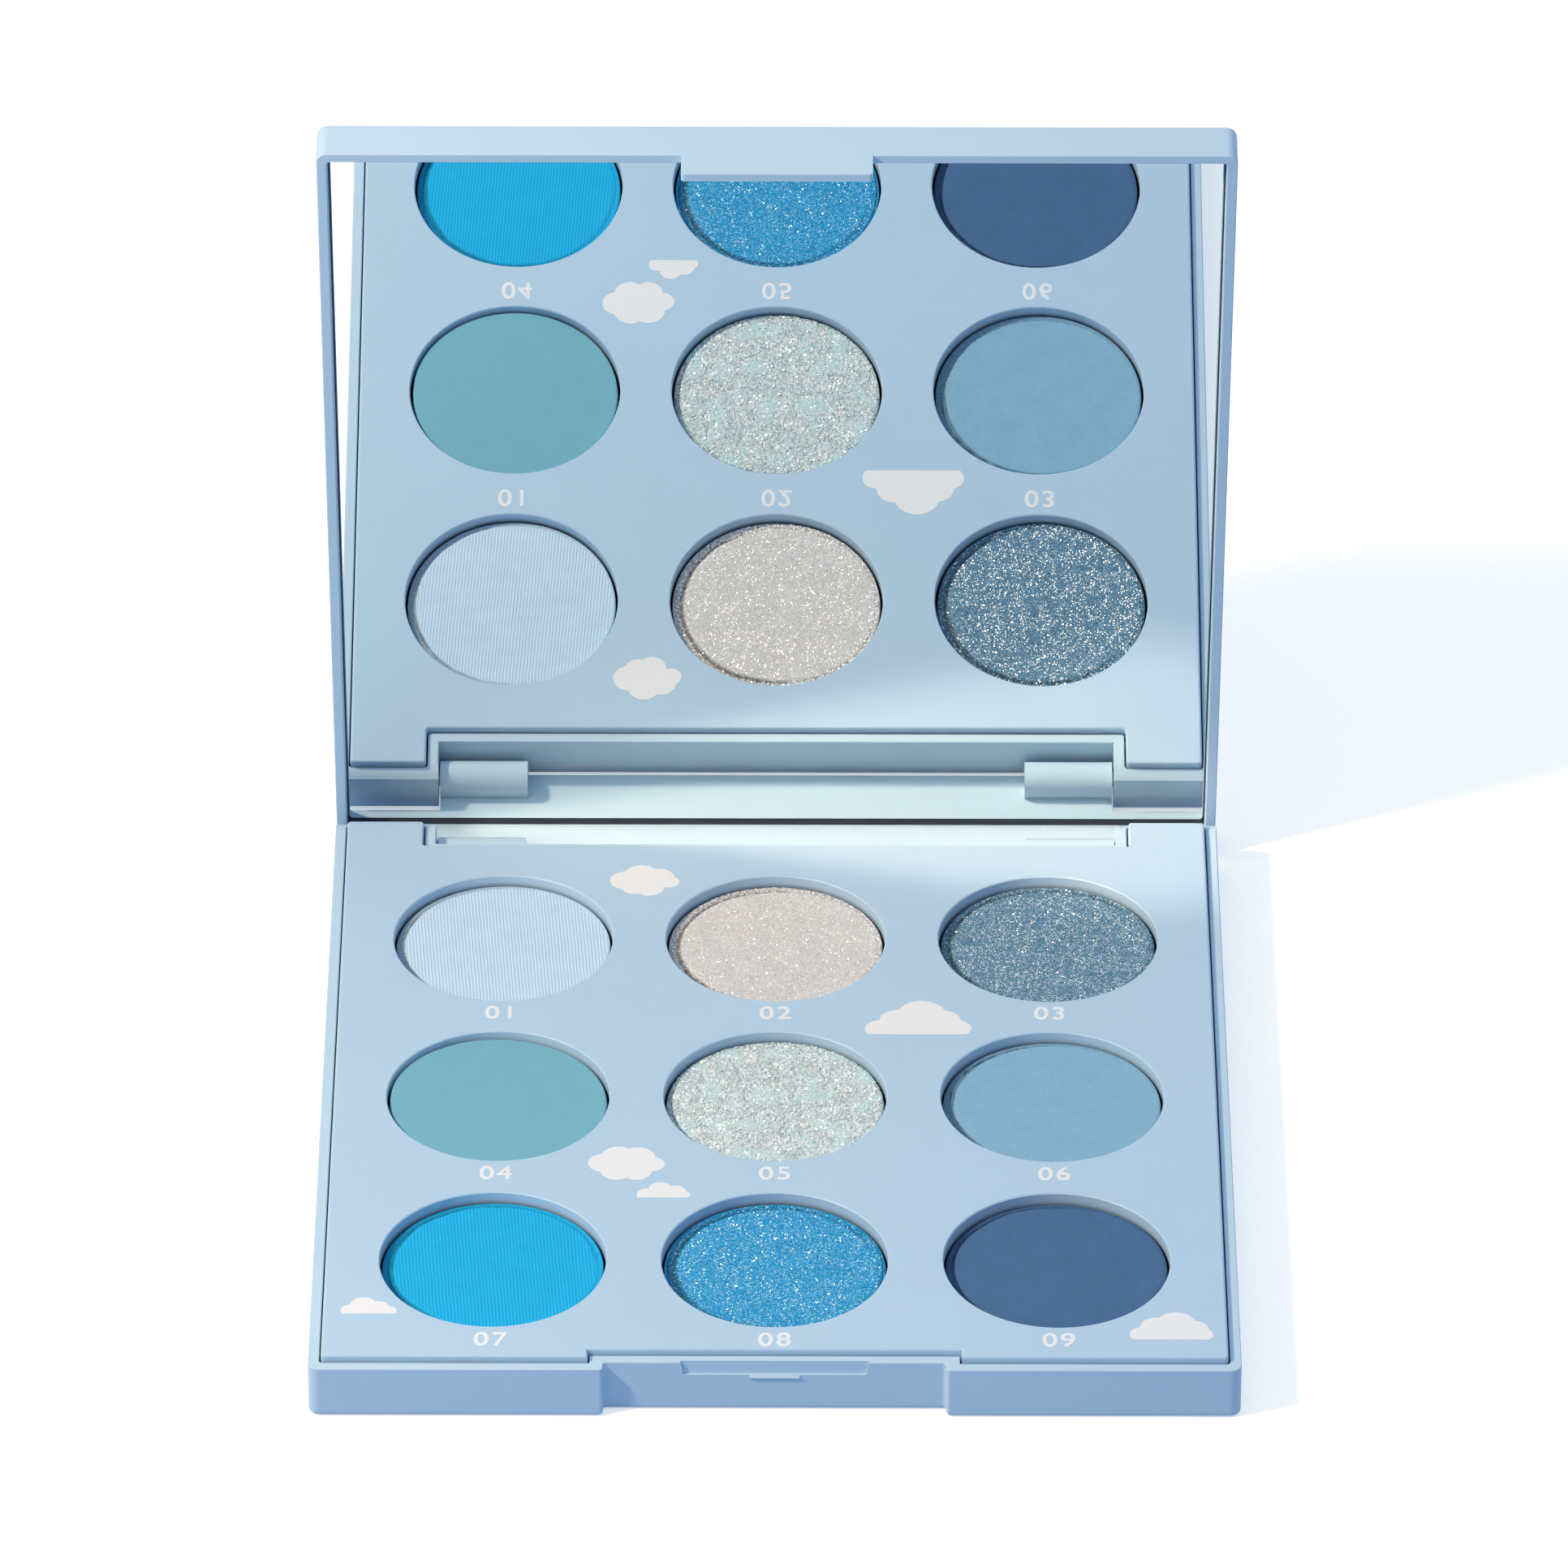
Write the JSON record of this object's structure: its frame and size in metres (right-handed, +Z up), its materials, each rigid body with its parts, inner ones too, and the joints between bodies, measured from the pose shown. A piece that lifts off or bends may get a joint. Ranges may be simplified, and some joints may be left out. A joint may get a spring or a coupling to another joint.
{
  "type": "eyeshadow palette",
  "caption": "Hinged square eyeshadow palette in pale blue plastic: full mirror in the lid and round pans of pressed powder in blues, teal and silver set in a tray.",
  "frame": {"origin": "centre of the base's flat underside, midway between its front and rear faces", "axes": "+X to the right along the hinge, +Y from the front notch to the hinge, +Z up; the lid rests open at 80 degrees"},
  "size_m": [0.0856, 0.0955, 0.09],
  "materials": {
    "case_plastic": "satin moulded plastic, pale sky blue",
    "tray_plastic": "satin moulded plastic, pale sky blue",
    "clear_glue": "set glue",
    "pin_steel": "drawn wire",
    "black_tape": "matte foam tape",
    "mirror": "silvered glass",
    "pan_aluminium": "pressed sheet",
    "shade_1": "pressed matte powder, ribbed linen texture",
    "shade_2": "pressed shimmer powder, fine sparkle",
    "shade_3": "pressed shimmer powder, white sparkle",
    "shade_4": "pressed matte powder, smooth",
    "shade_5": "pressed glitter, chunky flakes",
    "shade_6": "pressed matte powder, smooth",
    "shade_7": "pressed matte powder, ribbed linen texture",
    "shade_8": "pressed shimmer powder, white sparkle",
    "shade_9": "pressed matte powder, smooth"
  },
  "bodies": {
    "base": {"base_shell": "case_plastic", "shade_tray": "tray_plastic", "pan_glue_dots": "clear_glue", "hinge_pin_left": "pin_steel", "hinge_pin_right": "pin_steel", "pan_1": "pan_aluminium", "pan_2": "pan_aluminium", "pan_3": "pan_aluminium", "pan_4": "pan_aluminium", "pan_5": "pan_aluminium", "pan_6": "pan_aluminium", "pan_7": "pan_aluminium", "pan_8": "pan_aluminium", "pan_9": "pan_aluminium", "powder_1": "shade_1", "powder_2": "shade_2", "powder_3": "shade_3", "powder_4": "shade_4", "powder_5": "shade_5", "powder_6": "shade_6", "powder_7": "shade_7", "powder_8": "shade_8", "powder_9": "shade_9"},
    "lid": {"lid_shell": "case_plastic", "mirror_tape": "black_tape", "mirror_glass": "mirror"}
  },
  "joints": [
    {"name": "lid_hinge", "type": "hinge", "parent": "base", "child": "lid", "pos_m": [0, 0.043, 0.0023], "axis": [-1, 0, 0], "range_deg": [-80, 12]}
  ]
}
